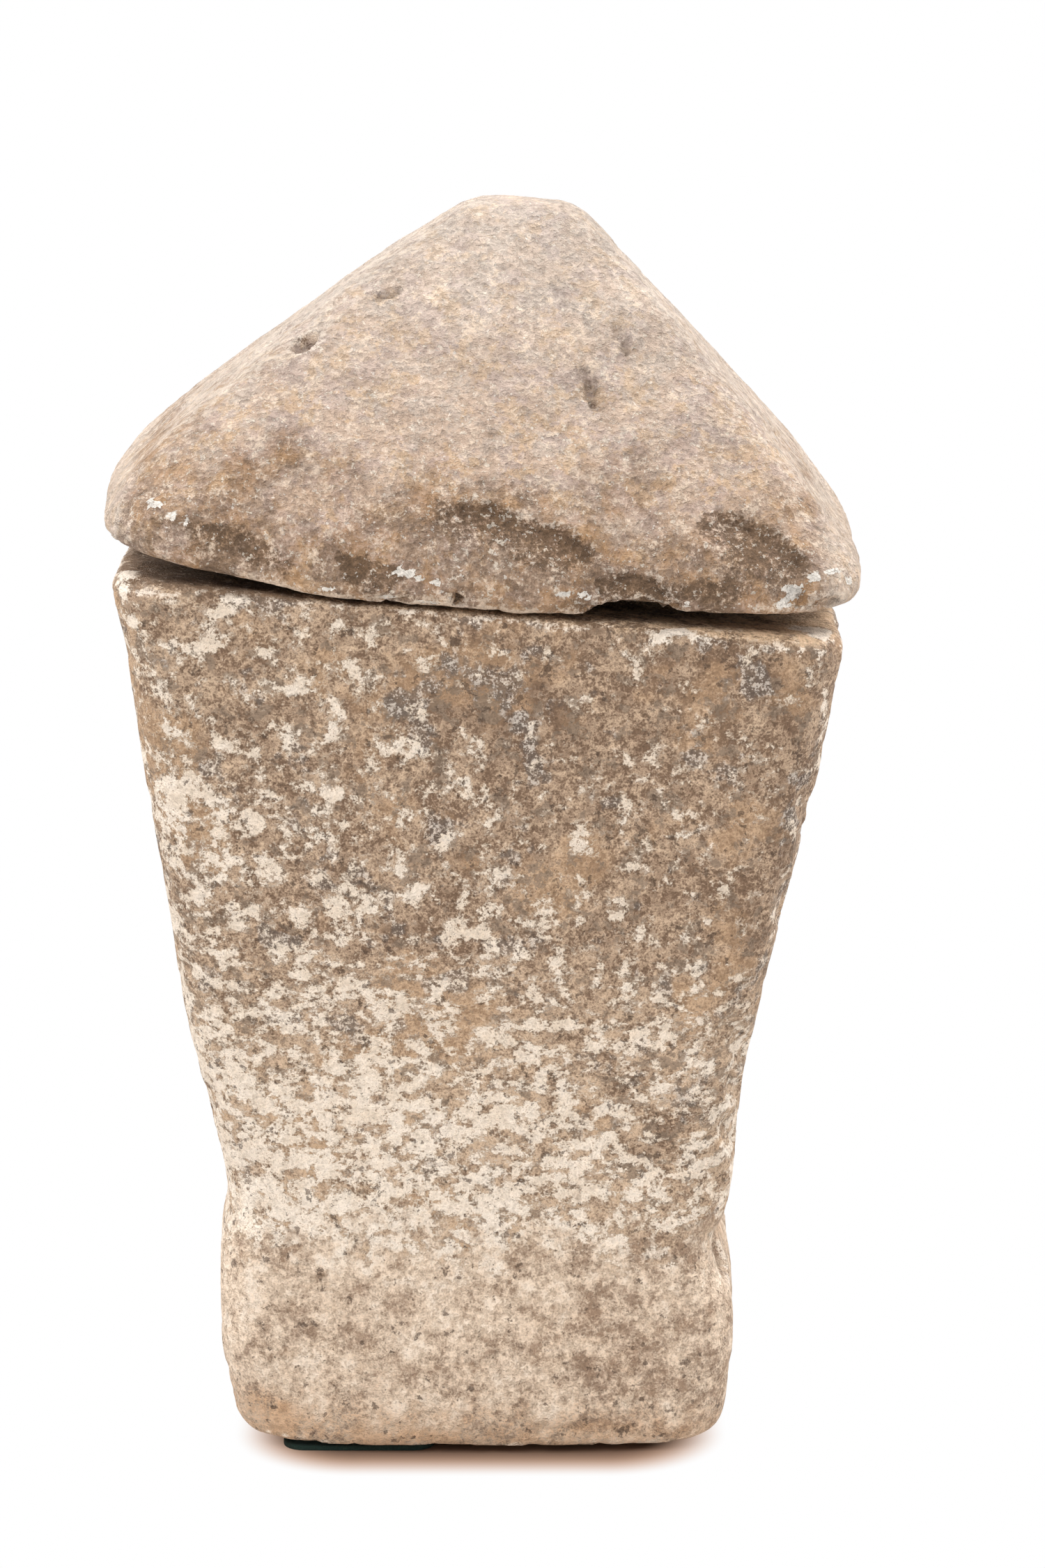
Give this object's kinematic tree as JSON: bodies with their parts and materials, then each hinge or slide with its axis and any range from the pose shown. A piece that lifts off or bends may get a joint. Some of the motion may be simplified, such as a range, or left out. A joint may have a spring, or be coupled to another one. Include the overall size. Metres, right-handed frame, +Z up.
{
  "type": "lidded stone burial urn",
  "caption": "Tapering squared limestone box, hollowed for bones, with a heavy hipped stone lid that drops over the lip of its mouth, on thin felt floor pads.",
  "frame": {"origin": "on the floor, under the middle of the urn's bounding box", "axes": "+Z up, -Y towards the front face seen in the picture, +X to the viewer's right"},
  "size_m": [0.429, 0.3888, 0.6995],
  "materials": {
    "box_limestone": "rough weathered limestone with lime crusts",
    "lid_limestone": "weathered limestone with a soft earthen patina",
    "felt": "matt felt"
  },
  "bodies": {
    "urn": {"urn_box": "box_limestone", "felt_pad_front_left": "felt", "felt_pad_front_right": "felt", "felt_pad_back_left": "felt", "felt_pad_back_right": "felt"},
    "lid": {"lid": "lid_limestone"}
  },
  "joints": [
    {"name": "lid_lift", "type": "slide", "parent": "urn", "child": "lid", "axis": [0, 0, 1], "range_m": [0, 0.3]}
  ]
}
